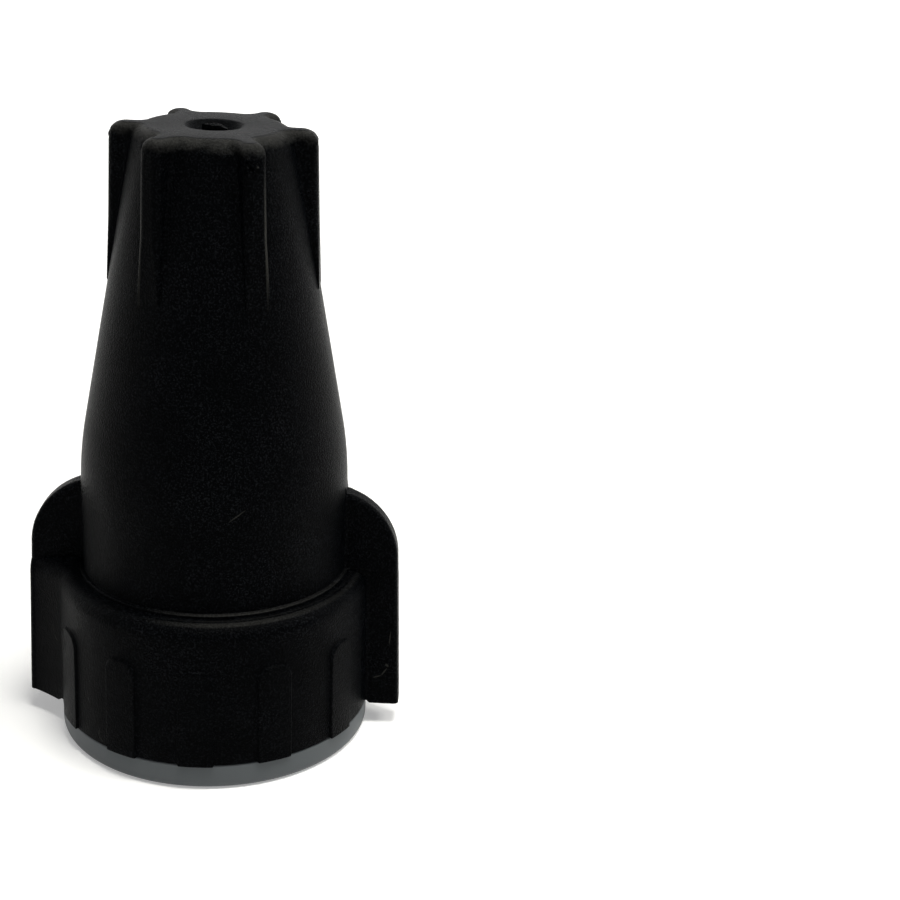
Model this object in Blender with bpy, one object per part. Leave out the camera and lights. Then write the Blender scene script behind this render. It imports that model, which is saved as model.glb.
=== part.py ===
"""Twist-on wire connector: a winged black shell, the coil inside it and a slit grey cap.

The connector stands on its cap. The cap's rim is at z = 0, +Z runs up the axis to the
closed nose, and the two wings lie along X. All sizes are in metres.
"""
import math

import bmesh
import bpy

MM = 0.001

# Clearance between two pieces that seat on each other
SEAT_GAP = 0.3 * MM

# End cap: a flange under the skirt, a collar inside it, and a slit disc across the middle
CAP_SETBACK = 0.03 * MM
FLANGE_HEIGHT = 1.62 * MM
FLANGE_EDGE = 0.55 * MM
RIM_WIDTH = 3.17 * MM
RECESS_DEPTH = 1.9 * MM
RECESS_SLOPE = 0.35 * MM
RECESS_EDGE = 0.45 * MM
DISC_THICKNESS = 0.8 * MM
COLLAR_HEIGHT = 5.0 * MM
COLLAR_WALL = 1.0 * MM
BEAD_HEIGHT = 0.35 * MM
BEAD_SPAN = 1.2 * MM
BEAD_RISE = 2.6 * MM
SLIT_COUNT = 12
SLIT_WIDTH = 0.2 * MM
SLIT_MARGIN = 0.75 * MM
EYE_RADIUS = 0.68 * MM
FINGER_ROUND = 0.45 * MM

# Skirt: the wide ring at the open end, with raised grip pads
SKIRT_RADIUS = 11.0 * MM
SKIRT_NARROWING = 0.12 * MM
SKIRT_HEIGHT = 10.3 * MM
SKIRT_EDGE = 1.1 * MM
SKIRT_WALL = 1.35 * MM
STEP_HEIGHT = 0.24 * MM
STEP_WIDTH = 0.26 * MM
LEDGE_FALL = 0.04 * MM
PAD_CENTRES = (25.0, 57.5, 90.0)
PAD_WIDTH = 2.3 * MM
PAD_HEIGHT = 0.16 * MM
PAD_EDGE = 0.14 * MM
PAD_LENGTH = 7.0 * MM
PAD_CORNER = 0.9 * MM

# Body: a straight waist that leans into a long cone
SHOULDER_WIDTH = 1.76 * MM
BODY_WALL = 1.15 * MM
TOP_RADIUS = 5.22 * MM
CONE_SLOPE = math.tan(math.radians(10.05))
WAIST_BLEND = 28.0 * MM
TOTAL_HEIGHT = 43.45 * MM
TOP_EDGE = 0.95 * MM

# Six fins round the nose
FIN_COUNT = 6
FIN_TURN = math.radians(1.3)
FIN_REACH = 6.8 * MM
FIN_SLOPE = math.tan(math.radians(1.6))
FIN_THICKNESS = 1.3 * MM
FIN_DRAFT = math.tan(math.radians(0.55))
FIN_EDGE = 0.32 * MM
FIN_END_EDGE = 0.9 * MM
FIN_SIDE_EDGE = 0.5 * MM
FIN_FILLET = 0.8 * MM

# Two wings, each plain on one side and flared into the skirt on the other
WING_STAND = 2.4 * MM
WING_SLOPE = math.tan(math.radians(2.0))
WING_THICKNESS = 1.6 * MM
WING_EDGE = 0.35 * MM
WING_HEIGHT = 16.42 * MM
WING_CORNER = 5.2 * MM
WING_FILLET = 0.3 * MM
WING_FOOT_DROP = 0.27 * MM
WING_FOOT_BLEND = 0.25 * MM
FLARE_HALF = 1.05 * MM
FLARE_RADIUS = 3.35 * MM

# Dish in the nose, with what the moulding's gate left in it
DISH_RADIUS = 2.05 * MM
DISH_FLOOR_RADIUS = 1.15 * MM
DISH_DEPTH = 0.55 * MM
GATE_RADIUS = 0.9 * MM
GATE_TEAR = 0.25 * MM
GATE_HEIGHT = 0.5 * MM
GATE_SLANT = 0.06 * MM

# Bore for the coil, inside the body
BORE_MOUTH_RADIUS = 6.45 * MM
BORE_END_RADIUS = 3.6 * MM
BORE_MOUTH_HEIGHT = 15.6 * MM
FUNNEL_HEIGHT = 2.0 * MM
NOSE_THICKNESS = 4.6 * MM
COLLAR_STOP = 0.6 * MM

# Coil of square wire, edge towards the axis
WIRE_SIDE = 0.85 * MM
COIL_PITCH = 1.6 * MM
COIL_STEPS = 18

# Faces along the round stretches
ROUND_STEPS = 72
BORE_STEPS = 48
DISH_STEPS = 32

# Sizes and places that follow from those above
CAP_RADIUS = SKIRT_RADIUS - CAP_SETBACK
RECESS_RADIUS = CAP_RADIUS - RIM_WIDTH - RECESS_SLOPE
SLIT_REACH = RECESS_RADIUS - SLIT_MARGIN
BODY_RADIUS = SKIRT_RADIUS - SHOULDER_WIDTH
STEP_RADIUS = BODY_RADIUS + STEP_WIDTH
WING_REACH = SKIRT_RADIUS + WING_STAND
SHELL_BOTTOM = FLANGE_HEIGHT + SEAT_GAP
SKIRT_TOP = SHELL_BOTTOM + SKIRT_HEIGHT
BODY_FOOT = SKIRT_TOP + STEP_HEIGHT
WING_TOP = SHELL_BOTTOM + WING_HEIGHT
WING_FOOT_START = CAP_RADIUS + SEAT_GAP
COLLAR_RADIUS = SKIRT_RADIUS - SKIRT_WALL - SEAT_GAP
COLLAR_TOP = FLANGE_HEIGHT + COLLAR_HEIGHT
CAVITY_RADIUS = BODY_RADIUS - BODY_WALL
BORE_END = TOTAL_HEIGHT - NOSE_THICKNESS
BORE_SLOPE = (BORE_MOUTH_RADIUS - BORE_END_RADIUS) / (BORE_END - BORE_MOUTH_HEIGHT)


def clear_scene():
    """Remove every object that the file opened with."""
    for item in list(bpy.data.objects):
        bpy.data.objects.remove(item, do_unlink=True)


def plastic(name, colour, roughness):
    """Moulded plastic in one colour."""
    material = bpy.data.materials.new(name)
    material.use_nodes = True
    shader = material.node_tree.nodes["Principled BSDF"]
    shader.inputs["Base Color"].default_value = (*colour, 1.0)
    shader.inputs["Roughness"].default_value = roughness
    shader.inputs["Metallic"].default_value = 0.0
    return material


def steel(name, colour, roughness):
    """Bright drawn wire."""
    material = plastic(name, colour, roughness)
    material.node_tree.nodes["Principled BSDF"].inputs["Metallic"].default_value = 1.0
    return material


def finish(bm, name, material, sharp_angle):
    """Turn a bmesh into a named object, shaded smooth with its real edges kept."""
    mesh = bpy.data.meshes.new(name)
    bm.to_mesh(mesh)
    bm.free()
    mesh.shade_smooth()
    mesh.set_sharp_from_angle(angle=math.radians(sharp_angle))
    mesh.materials.append(material)
    piece = bpy.data.objects.new(name, mesh)
    bpy.context.scene.collection.objects.link(piece)
    return piece


def circle(radius, steps):
    """Points of a full circle, from the +X side round."""
    return [(radius * math.cos(2 * math.pi * i / steps), radius * math.sin(2 * math.pi * i / steps))
            for i in range(steps)]


def arc(centre, radius, start, stop, steps):
    """Points of an arc, both ends included."""
    turns = [start + (stop - start) * i / steps for i in range(steps + 1)]
    return [(centre[0] + radius * math.cos(t), centre[1] + radius * math.sin(t)) for t in turns]


def rotated(points, angle):
    """The same points turned about the axis."""
    c, s = math.cos(angle), math.sin(angle)
    return [(x * c - y * s, x * s + y * c) for x, y in points]


def edge_inset(z, top, radius):
    """How far a rounded upper edge has drawn in at height z."""
    rise = max(0.0, z - (top - radius))
    return radius - math.sqrt(max(0.0, radius * radius - rise * rise))


def join_rings(bm, first, second):
    """Skin two rings of points that both run round from +X; their counts may differ."""
    count_a, count_b = len(first), len(second)
    if count_a == count_b:
        for i in range(count_a):
            j = (i + 1) % count_a
            bm.faces.new((first[i], first[j], second[j], second[i]))
        return
    turns_a = unwrapped(first)
    turns_b = unwrapped(second)
    i = j = 0
    while i < count_a or j < count_b:
        if j >= count_b or (i < count_a and turns_a[i + 1] <= turns_b[j + 1]):
            bm.faces.new((first[i % count_a], first[(i + 1) % count_a], second[j % count_b]))
            i += 1
        else:
            bm.faces.new((first[i % count_a], second[(j + 1) % count_b], second[j % count_b]))
            j += 1


def unwrapped(ring):
    """Angles of a ring's points, ending one full turn after the first."""
    first = math.atan2(ring[0].co.y, ring[0].co.x)
    turns = [(math.atan2(v.co.y, v.co.x) - first) % (2 * math.pi) for v in ring]
    return [first + turn for turn in turns] + [first + 2 * math.pi]


def skin(sections, start_point, end_point):
    """Close a solid from a point, through its sections, to another point.

    Each section is a list of (x, y, z) points. The first point's surface looks down.
    """
    bm = bmesh.new()
    rings = [[bm.verts.new(point) for point in section] for section in sections]
    start = bm.verts.new(start_point)
    end = bm.verts.new(end_point)
    first, last = rings[0], rings[-1]
    for i in range(len(first)):
        bm.faces.new((start, first[(i + 1) % len(first)], first[i]))
    for below, above in zip(rings, rings[1:]):
        join_rings(bm, below, above)
    for i in range(len(last)):
        bm.faces.new((last[i], last[(i + 1) % len(last)], end))
    bm.normal_update()
    return bm


def at_height(points, z):
    """Lift plan points to a height."""
    return [(x, y, z) for x, y in points]


def turned(profile, steps):
    """Sections of a turned form from its (radius, height) points."""
    return [at_height(circle(radius, steps), z) for radius, z in profile]


def body_radius(z):
    """Outer radius of the waist and cone: straight, then an arc, then the cone."""
    corner = TOTAL_HEIGHT - (BODY_RADIUS - TOP_RADIUS) / CONE_SLOPE
    lean = math.atan(CONE_SLOPE)
    tangent = WAIST_BLEND * math.tan(lean / 2)
    if z <= corner - tangent:
        return BODY_RADIUS
    if z >= corner + tangent * math.cos(lean):
        return TOP_RADIUS + (TOTAL_HEIGHT - z) * CONE_SLOPE
    rise = z - (corner - tangent)
    return BODY_RADIUS - (WAIST_BLEND - math.sqrt(WAIST_BLEND ** 2 - rise ** 2))


def blend_heights(steps):
    """Heights along the arc between the waist and the cone."""
    corner = TOTAL_HEIGHT - (BODY_RADIUS - TOP_RADIUS) / CONE_SLOPE
    lean = math.atan(CONE_SLOPE)
    tangent = WAIST_BLEND * math.tan(lean / 2)
    low, high = corner - tangent, corner + tangent * math.cos(lean)
    return [low + (high - low) * i / steps for i in range(steps + 1)]


def fin_reach(z):
    """How far the fins stand from the axis."""
    return FIN_REACH + (TOTAL_HEIGHT - z) * FIN_SLOPE


def fin_half(z):
    """Half the thickness of the fins, which taper a little towards the top."""
    return FIN_THICKNESS / 2 + (TOTAL_HEIGHT - z) * FIN_DRAFT


def fin_root_height():
    """Height at which the cone has grown as wide as the fins."""
    return TOTAL_HEIGHT - (FIN_REACH - TOP_RADIUS) / (CONE_SLOPE - FIN_SLOPE)


def star_outline(z, corner_steps=3, fillet_steps=5):
    """Section through the nose: the round body with six filleted fins."""
    inset = edge_inset(z, TOTAL_HEIGHT, TOP_EDGE)
    body = body_radius(z) - inset
    reach = fin_reach(z) - edge_inset(z, TOTAL_HEIGHT, FIN_END_EDGE)
    half = fin_half(z) - edge_inset(z, TOTAL_HEIGHT, FIN_SIDE_EDGE)
    stand = reach - body
    edge = min(FIN_EDGE, half * 0.9, stand * 0.4)
    fillet = min(FIN_FILLET, stand * 0.5) + inset
    corner = arc((reach - edge, half - edge), edge, 0.0, math.pi / 2, corner_steps)
    height = half + fillet
    away = math.sqrt((body + fillet) ** 2 - height ** 2)
    root = arc((away, height), fillet, -math.pi / 2, -math.pi + math.atan2(height, away), fillet_steps)
    middle = math.pi / FIN_COUNT
    side = [(reach, 0.0)] + corner + root
    valley = (body * math.cos(middle), body * math.sin(middle))
    other = [(x, -y) for x, y in reversed(side[1:])]
    sector = side + [valley] + rotated(other, 2 * middle)
    return [point for i in range(FIN_COUNT) for point in rotated(sector, 2 * middle * i + FIN_TURN)]


def wing_reach(z):
    """How far the wings stand from the axis; their upper corner is a quarter round."""
    upright = WING_REACH - (z - SHELL_BOTTOM) * WING_SLOPE
    corner_height = WING_TOP - WING_CORNER
    if z <= corner_height:
        return upright
    rise = z - corner_height
    centre = WING_REACH - (corner_height - SHELL_BOTTOM) * WING_SLOPE - WING_CORNER
    return centre + math.sqrt(max(0.0, WING_CORNER ** 2 - rise ** 2))


def wing_side(reach, radius, fillet, fillet_half, inset, corner_steps=2, fillet_steps=4):
    """One side of a wing, from its tip to where its root fillet meets the round body."""
    height = fillet_half + fillet
    away = math.sqrt((radius + inset + fillet) ** 2 - height ** 2)
    swept = fillet + inset
    face = WING_THICKNESS / 2
    edge = min(WING_EDGE, (reach - radius) * 0.4)
    tangent = math.atan2(away, height)
    if height - swept < face + 1e-9:
        first = math.acos(min(1.0, (height - face) / swept))
        brow = face
    else:
        start = min(away, reach - edge)
        first = math.asin((away - start) / swept)
        brow = height - swept * math.cos(first)
    corner = arc((reach - edge, brow - edge), edge, 0.0, math.pi / 2, corner_steps)
    sweeps = [first + (tangent - first) * i / fillet_steps for i in range(fillet_steps + 1)]
    root = [(away - swept * math.sin(t), height - swept * math.cos(t)) for t in sweeps]
    if math.dist(corner[-1], root[0]) < 0.02 * MM:
        root[0] = ((root[0][0] + root[1][0]) / 2, (root[0][1] + root[1][1]) / 2)
    return [(reach, 0.0)] + corner + root


def both_wings(flared, plain, radius, bends):
    """A whole section from the two kinds of side and the angles, in degrees, of the round."""
    near = flared + [lifted(angle, radius, lift) for angle, lift in bends]
    far = plain + [lifted(angle, radius, lift) for angle, lift in bends]
    far = [(-x, y) for x, y in reversed(far[1:-1])]
    half = near + far
    return half + rotated(half, math.pi)


def lifted(angle, radius, lift):
    """A point of the round, raised by a pad's height."""
    turn = math.radians(angle)
    return ((radius + lift) * math.cos(turn), (radius + lift) * math.sin(turn))


def waist_outline(z, radius, steps=9):
    """Section through the body where the wings stand on it, plain on both sides."""
    fillet = min(WING_FILLET, (wing_reach(z) - radius) * 0.5)
    side = wing_side(wing_reach(z), radius, fillet, WING_THICKNESS / 2, 0.0, 2, 2)
    foot = math.degrees(math.atan2(side[-1][1], side[-1][0]))
    bends = [(foot + (90.0 - foot) * (i + 1) / steps, 0.0) for i in range(steps)]
    return both_wings(side, side, radius, bends)


def skirt_radius(z):
    """Outer radius of the skirt, a little narrower towards its top."""
    return SKIRT_RADIUS - SKIRT_NARROWING * (z - SHELL_BOTTOM) / SKIRT_HEIGHT


def pad_bends(z, radius):
    """Angles and lifts round a quarter of the skirt, with its grip pads."""
    top = SHELL_BOTTOM + PAD_LENGTH
    raised = z <= top
    draw = edge_inset(min(z, top), top, PAD_CORNER)
    half = PAD_WIDTH / 2 - draw
    bends = []
    for number, centre in enumerate(PAD_CENTRES):
        lift = PAD_HEIGHT if raised else 0.0
        inner = math.degrees(half / radius)
        outer = math.degrees((half + PAD_EDGE) / radius)
        pad = [(centre - outer, 0.0), (centre - inner, lift), (centre, lift)]
        if number < len(PAD_CENTRES) - 1:
            gap = PAD_CENTRES[number + 1] - centre - 2 * outer
            pad += [(centre + inner, lift), (centre + outer, 0.0)]
            pad += [(centre + outer + gap * share, 0.0) for share in (1 / 3, 2 / 3)]
        bends += pad
    return bends


def skirt_outline(z):
    """Section through the skirt: wings flared on one side, pads, and a rounded upper edge."""
    inset = edge_inset(z, SKIRT_TOP, SKIRT_EDGE)
    radius = skirt_radius(z) - inset
    corner_steps = 2
    flared = wing_side(wing_reach(z), radius, FLARE_RADIUS, FLARE_HALF, inset, corner_steps, 6)
    plain = wing_side(wing_reach(z), radius, WING_FILLET, WING_THICKNESS / 2, inset, corner_steps, 4)
    brow = (WING_FOOT_START + WING_FOOT_BLEND, WING_THICKNESS / 2)
    plain.insert(corner_steps + 2, brow)
    return both_wings(flared, plain, radius, pad_bends(z, radius))


def foot_sections():
    """Open end of the shell: flat under the skirt, with the wings' feet lower, clear of the cap."""
    sections = []
    rings = ((0.97, WING_FOOT_START), (0.985, WING_FOOT_START + WING_FOOT_BLEND), (1.0, math.inf))
    for share, limit in rings:
        section = []
        for x, y in skirt_outline(SHELL_BOTTOM):
            whole = math.hypot(x, y)
            radius = min(whole * share, limit)
            past = min(1.0, max(0.0, (radius - WING_FOOT_START) / WING_FOOT_BLEND))
            drop = WING_FOOT_DROP * past * past * (3.0 - 2.0 * past)
            section.append((x * radius / whole, y * radius / whole, SHELL_BOTTOM - drop))
        sections.append(section)
    return sections


def bore_radius(z):
    """Inner radius of the tapered bore that grips the coil."""
    return BORE_MOUTH_RADIUS - (z - BORE_MOUTH_HEIGHT) * BORE_SLOPE


def bead_middle():
    """Height of the middle of the cap's snap bead."""
    return FLANGE_HEIGHT + BEAD_RISE


def cavity_profile():
    """Inside of the shell from the end of the bore down to the open end."""
    bore = SKIRT_RADIUS - SKIRT_WALL
    stop = COLLAR_TOP + COLLAR_STOP
    groove = COLLAR_RADIUS + BEAD_HEIGHT + SEAT_GAP
    half = BEAD_SPAN / 2 + SEAT_GAP
    middle = bead_middle()
    return [
        (BORE_END_RADIUS, BORE_END),
        (BORE_MOUTH_RADIUS, BORE_MOUTH_HEIGHT),
        (CAVITY_RADIUS, BORE_MOUTH_HEIGHT - FUNNEL_HEIGHT),
        (CAVITY_RADIUS, stop),
        (bore, stop),
        (bore, middle + half),
        (groove, middle),
        (bore, middle - half),
        (bore, SHELL_BOTTOM),
    ]


def nose_sections():
    """Fins and rounded top, from the fins' roots up."""
    low = fin_root_height()
    high = TOTAL_HEIGHT - TOP_EDGE
    starts = [low + (high - low) * share for share in (0.04, 0.14, 0.32, 0.62, 1.0)]
    rounds = [high + TOP_EDGE * math.sin(math.radians(turn)) for turn in (24.0, 42.0, 60.0, 90.0)]
    return [at_height(star_outline(z), z) for z in starts + rounds]


def gate_outline(radius):
    """Outline of the gate's stub: round at the back, torn off flat along the front."""
    share = math.sqrt(radius ** 2 - GATE_TEAR ** 2) / radius
    return [(x, y) if y > GATE_TEAR else (x * share, GATE_TEAR) for x, y in circle(radius, DISH_STEPS)]


def gate_top():
    """Height of the middle of the stub's torn top."""
    return TOTAL_HEIGHT - DISH_DEPTH + GATE_HEIGHT


def dish_sections():
    """Dish in the nose and the half of the gate's stub that stands in it."""
    floor = TOTAL_HEIGHT - DISH_DEPTH
    middle = (DISH_RADIUS + DISH_FLOOR_RADIUS) / 2
    slope = [(DISH_RADIUS, TOTAL_HEIGHT), (middle, floor + DISH_DEPTH * 0.4), (DISH_FLOOR_RADIUS, floor)]
    foot = at_height(gate_outline(GATE_RADIUS), floor)
    torn = [(x, y, gate_top() - GATE_SLANT * x / GATE_RADIUS) for x, y in gate_outline(GATE_RADIUS * 0.95)]
    return turned(slope, DISH_STEPS) + [foot, torn]


def waist_sections():
    """Body from its foot to where the fins start, with the wings standing on it."""
    sections = [at_height(waist_outline(SKIRT_TOP, STEP_RADIUS), SKIRT_TOP),
                at_height(waist_outline(BODY_FOOT - LEDGE_FALL, STEP_RADIUS), BODY_FOOT - LEDGE_FALL),
                at_height(waist_outline(BODY_FOOT, BODY_RADIUS), BODY_FOOT)]
    corner = WING_TOP - WING_CORNER
    reach = wing_reach(corner) - WING_CORNER
    last = math.degrees(math.acos((BODY_RADIUS + 0.3 * MM - reach) / WING_CORNER))
    for i in range(7):
        z = corner + WING_CORNER * math.sin(math.radians(last * i / 6))
        sections.append(at_height(waist_outline(z, body_radius(z)), z))
    heights = [z for z in blend_heights(4) if z > WING_TOP]
    heights = [WING_TOP] + heights + [fin_root_height()]
    return sections + [at_height(circle(body_radius(z), ROUND_STEPS), z) for z in heights]


def skirt_sections():
    """Skirt from its bottom edge up to the ledge, pads and flares included."""
    pad_top = SHELL_BOTTOM + PAD_LENGTH
    heights = [pad_top - PAD_CORNER, pad_top - PAD_CORNER * 0.5, pad_top - PAD_CORNER * 0.13,
               pad_top, pad_top + PAD_EDGE]
    low = SKIRT_TOP - SKIRT_EDGE
    heights += [low + SKIRT_EDGE * math.sin(math.radians(turn)) for turn in (0.0, 24.0, 46.0, 68.0)]
    sections = [at_height(skirt_outline(z), z) for z in heights]
    rim = at_height(skirt_outline(SKIRT_TOP), SKIRT_TOP - LEDGE_FALL)
    return foot_sections() + sections + [rim]


def make_shell(material):
    """One moulding: skirt, wings, body, fins and the cavity inside."""
    inside = turned(cavity_profile(), BORE_STEPS)
    sections = inside + skirt_sections() + waist_sections() + nose_sections() + dish_sections()
    last = (0.0, (GATE_RADIUS + GATE_TEAR) / 2, gate_top())
    return finish(skin(sections, (0.0, 0.0, BORE_END), last), "shell", material, 28)


def coil_centre(z):
    """Radius of the coil's wire centre at a height, seated against the bore."""
    return bore_radius(z) - SEAT_GAP - WIRE_SIDE / math.sqrt(2)


def make_spring(material):
    """Tapered coil of square wire, wound right-handed so that it screws onto the wires."""
    reach = WIRE_SIDE / math.sqrt(2)
    low = BORE_MOUTH_HEIGHT + reach
    high = BORE_END - SEAT_GAP - reach
    count = round((high - low) / COIL_PITCH * COIL_STEPS)
    bm = bmesh.new()
    rings = []
    for i in range(count + 1):
        turn = 2 * math.pi * i / COIL_STEPS
        z = low + (high - low) * i / count
        centre = coil_centre(z)
        corners = [(centre + reach, z), (centre, z + reach), (centre - reach, z), (centre, z - reach)]
        rings.append([bm.verts.new((r * math.cos(turn), r * math.sin(turn), h)) for r, h in corners])
    for back, front in zip(rings, rings[1:]):
        for i in range(4):
            j = (i + 1) % 4
            bm.faces.new((back[i], back[j], front[j], front[i]))
    bm.faces.new(tuple(reversed(rings[0])))
    bm.faces.new(tuple(rings[-1]))
    bmesh.ops.recalc_face_normals(bm, faces=bm.faces)
    return finish(bm, "spring", material, 30)


def cap_profile():
    """Half section of the cap, from the slit disc's outer face round to its inner face."""
    lip = RECESS_RADIUS + RECESS_SLOPE
    inner_edge = arc((lip + RECESS_EDGE, RECESS_EDGE), RECESS_EDGE, math.pi, math.pi * 1.5, 3)
    outer_edge = arc((CAP_RADIUS - FLANGE_EDGE, FLANGE_EDGE), FLANGE_EDGE, math.pi * 1.5, math.pi * 2, 3)
    middle = bead_middle()
    inner = COLLAR_RADIUS - COLLAR_WALL
    disc_top = RECESS_DEPTH + DISC_THICKNESS
    return [
        (RECESS_RADIUS, RECESS_DEPTH),
        *inner_edge,
        *outer_edge,
        (CAP_RADIUS, FLANGE_HEIGHT),
        (COLLAR_RADIUS, FLANGE_HEIGHT),
        (COLLAR_RADIUS, middle - BEAD_SPAN / 2),
        (COLLAR_RADIUS + BEAD_HEIGHT, middle),
        (COLLAR_RADIUS, middle + BEAD_SPAN / 2),
        (COLLAR_RADIUS, COLLAR_TOP),
        (inner, COLLAR_TOP),
        (inner, disc_top),
    ]


def spider_outline():
    """Outline of the cut in the disc: an eye with a thin slit between each two fingers."""
    half = SLIT_WIDTH / 2
    step = 2 * math.pi / SLIT_COUNT
    flank = math.sqrt(EYE_RADIUS ** 2 - half ** 2) + FINGER_ROUND
    slit = [(flank, -half), (SLIT_REACH, -half), (SLIT_REACH, half), (flank, half)]
    tip = (EYE_RADIUS * math.cos(step / 2), EYE_RADIUS * math.sin(step / 2))
    shoulder = (EYE_RADIUS + FINGER_ROUND * 0.25, EYE_RADIUS * math.sin(step / 2) * 0.62)
    one = slit + [shoulder, tip, rotated([(shoulder[0], -shoulder[1])], step)[0]]
    return [point for i in range(SLIT_COUNT) for point in rotated(one, step * i)]


def make_slit_cutter():
    """Thin star-shaped prism that cuts the eye and all the slits at once."""
    low = RECESS_DEPTH - DISC_THICKNESS
    high = RECESS_DEPTH + 2 * DISC_THICKNESS
    bm = bmesh.new()
    face = bm.faces.new([bm.verts.new(point) for point in at_height(spider_outline(), low)])
    face.normal_update()
    if face.normal.z > 0:
        face.normal_flip()
    risen = bmesh.ops.extrude_face_region(bm, geom=[face], use_keep_orig=True)
    lifted_verts = [item for item in risen["geom"] if isinstance(item, bmesh.types.BMVert)]
    bmesh.ops.translate(bm, verts=lifted_verts, vec=(0.0, 0.0, high - low))
    bmesh.ops.recalc_face_normals(bm, faces=bm.faces)
    mesh = bpy.data.meshes.new("slit_cutter")
    bm.to_mesh(mesh)
    bm.free()
    cutter = bpy.data.objects.new("slit_cutter", mesh)
    cutter.hide_render = True
    cutter.display_type = "WIRE"
    bpy.context.scene.collection.objects.link(cutter)
    return cutter


def make_cap(material):
    """Turned cap with twelve soft fingers between its slits."""
    low, high = (0.0, 0.0, RECESS_DEPTH), (0.0, 0.0, RECESS_DEPTH + DISC_THICKNESS)
    bm = skin(turned(cap_profile(), ROUND_STEPS), low, high)
    cap = finish(bm, "end_cap", material, 32)
    cut = cap.modifiers.new("slits", "BOOLEAN")
    cut.operation = "DIFFERENCE"
    cut.solver = "EXACT"
    cut.object = make_slit_cutter()
    return cap


def main():
    """Build the three pieces."""
    clear_scene()
    make_shell(plastic("black_plastic", (0.016, 0.016, 0.017), 0.42))
    make_spring(steel("spring_steel", (0.56, 0.55, 0.53), 0.3))
    make_cap(plastic("grey_plastic", (0.13, 0.137, 0.147), 0.5))


main()
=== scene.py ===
"""Looks of the twist-on wire connector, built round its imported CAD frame.

The shell and the end cap are finer meshes of the same shapes, in the same place, and the
coil keeps its CAD solid. All sizes are in metres: +Z runs up the axis, the wings lie along X.
"""
import math

import bmesh
import bpy
from mathutils import Matrix, Vector, noise


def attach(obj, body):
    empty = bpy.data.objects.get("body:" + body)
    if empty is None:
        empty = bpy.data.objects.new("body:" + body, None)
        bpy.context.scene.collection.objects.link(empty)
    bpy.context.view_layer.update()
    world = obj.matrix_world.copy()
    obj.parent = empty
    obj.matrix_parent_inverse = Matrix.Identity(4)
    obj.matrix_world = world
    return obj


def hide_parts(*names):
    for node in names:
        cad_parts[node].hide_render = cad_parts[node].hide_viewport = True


MM = 0.001

# Edges that bend by more degrees than this stay sharp
SHARP_ANGLE = 34
# Steps round a turned form
FINE_STEPS = 180
COARSE_STEPS = 96
# Shares of a corner and of an edge at which sections are cut, closer where the form bends
CORNER_SHARES = (0.8, 0.62, 0.46, 0.32, 0.2, 0.1)
EDGE_SHARES = (0.0, 0.17, 0.34, 0.5, 0.66, 0.83, 1.0, 1.4)

# End cap
CAP_RADIUS = 10.97 * MM
FLANGE_HEIGHT = 1.62 * MM
FLANGE_RISE = 0.22 * MM
FLANGE_EDGE = 0.55 * MM
FLANGE_TOP_EDGE = 0.12 * MM
RIM_WIDTH = 3.17 * MM
RECESS_DEPTH = 1.9 * MM
RECESS_SLOPE = 0.35 * MM
RECESS_EDGE = 0.45 * MM
RECESS_CORNER = (0.1 * MM, 0.08 * MM)
DISC_THICKNESS = 0.8 * MM
COLLAR_HEIGHT = 5.0 * MM
COLLAR_WALL = 1.0 * MM
COLLAR_GAP = 0.3 * MM
BEAD_HEIGHT = 0.35 * MM
BEAD_SPAN = 1.2 * MM
BEAD_RISE = 2.6 * MM
SLIT_COUNT = 12
SLIT_WIDTH = 0.2 * MM
SLIT_MARGIN = 0.75 * MM
EYE_RADIUS = 0.68 * MM
FINGER_ROUND = 0.45 * MM

# Skirt, with its pads' middles in degrees from a wing
SKIRT_RADIUS = 11.0 * MM
SKIRT_NARROWING = 0.12 * MM
SKIRT_EDGE = 1.1 * MM
SKIRT_WALL = 1.35 * MM
SHELL_BOTTOM = 1.92 * MM
SKIRT_TOP = 12.22 * MM
BODY_FOOT = 12.46 * MM
STEP_RADIUS = 9.5 * MM
STEP_EDGE = 0.1 * MM
STEP_CREASE = 0.03 * MM
LEDGE_FALL = 0.04 * MM
PAD_CENTRES = (30.7, 61.6, 90.0)
PAD_TURN = 1.0
PAD_TURN_FADE = 5.0
PAD_GAP = 4.0
PAD_WIDTH = 2.3 * MM
PAD_HEIGHT = 0.16 * MM
PAD_EDGE = 0.14 * MM
PAD_TOP = 8.92 * MM
PAD_CORNER = 0.9 * MM

# Body
BODY_RADIUS = 9.24 * MM
TOP_RADIUS = 5.22 * MM
CONE_SLOPE = math.tan(math.radians(10.05))
WAIST_BLEND = 28.0 * MM
TOTAL_HEIGHT = 43.45 * MM
TOP_EDGE = 0.95 * MM

# Fins
FIN_COUNT = 6
FIN_TURN = math.radians(1.3)
FIN_REACH = 6.8 * MM
FIN_SLOPE = math.tan(math.radians(1.6))
FIN_THICKNESS = 1.52 * MM
FIN_DRAFT = math.tan(math.radians(0.55))
FIN_EDGE = 0.5 * MM
FIN_END_EDGE = 0.9 * MM
FIN_SIDE_EDGE = 0.5 * MM
FIN_FILLET = 0.3 * MM
# Shares of the fins' height at which their roots are cut, and where even steps take over
FIN_ROOT_SHARES = (0.01, 0.03, 0.06, 0.1, 0.15, 0.21, 0.28, 0.36, 0.45, 0.55, 0.65)
FIN_EVEN_SHARE = 0.7

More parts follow.
